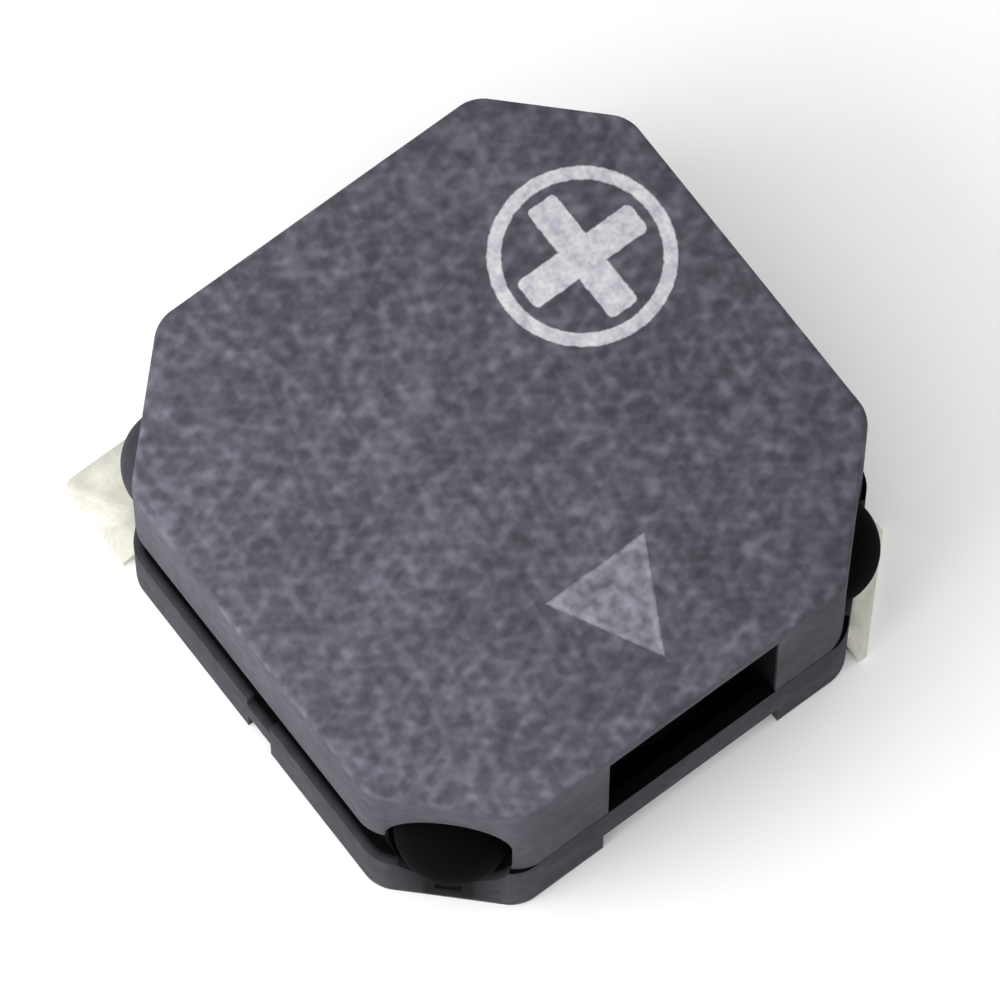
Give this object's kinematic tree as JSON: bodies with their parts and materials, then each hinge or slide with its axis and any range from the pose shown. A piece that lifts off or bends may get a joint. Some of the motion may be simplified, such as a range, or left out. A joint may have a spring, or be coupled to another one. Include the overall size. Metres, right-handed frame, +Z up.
{
  "type": "surface-mount magnetic buzzer",
  "caption": "Square surface-mount magnetic buzzer with cut corners, a side sound port, corner solder pads and a diaphragm driven by a coil and a ring magnet.",
  "frame": {"origin": "middle of the square footprint, on the plane of the solder pads' lower faces", "axes": "+Z up, away from the circuit board; the sound port looks along -Y; the plus terminal's pad is at +X +Y"},
  "size_m": [0.0086, 0.0086, 0.004],
  "materials": {
    "cover_plastic": "fine mottled grain, two pale printed marks on top",
    "base_plastic": "fine mottled grain, slightly smoother than the cover",
    "tinned_sheet": "matt tin plating with a cream cast, on a copper alloy sheet",
    "soft_iron": "plain turned and punched steel",
    "copper_winding": "enamelled copper wire, wound in close turns",
    "copper_wire": "enamelled copper wire",
    "solder": "dull, rough solder",
    "magnet": "coated sintered magnet",
    "ring_plastic": "smooth black moulding",
    "diaphragm_foil": "rolled spring foil"
  },
  "bodies": {
    "root": {"cover": "cover_plastic", "base": "base_plastic", "terminal_plus": "tinned_sheet", "terminal_minus": "tinned_sheet", "spare_pad_left": "tinned_sheet", "spare_pad_right": "tinned_sheet", "yoke_plate": "soft_iron", "pole_core": "soft_iron", "coil": "copper_winding", "coil_lead_plus": "copper_wire", "coil_lead_minus": "copper_wire", "solder_joint_plus": "solder", "solder_joint_minus": "solder", "ring_magnet": "magnet", "support_ring": "ring_plastic", "diaphragm": "diaphragm_foil", "armature_disc": "soft_iron"}
  },
  "joints": []
}
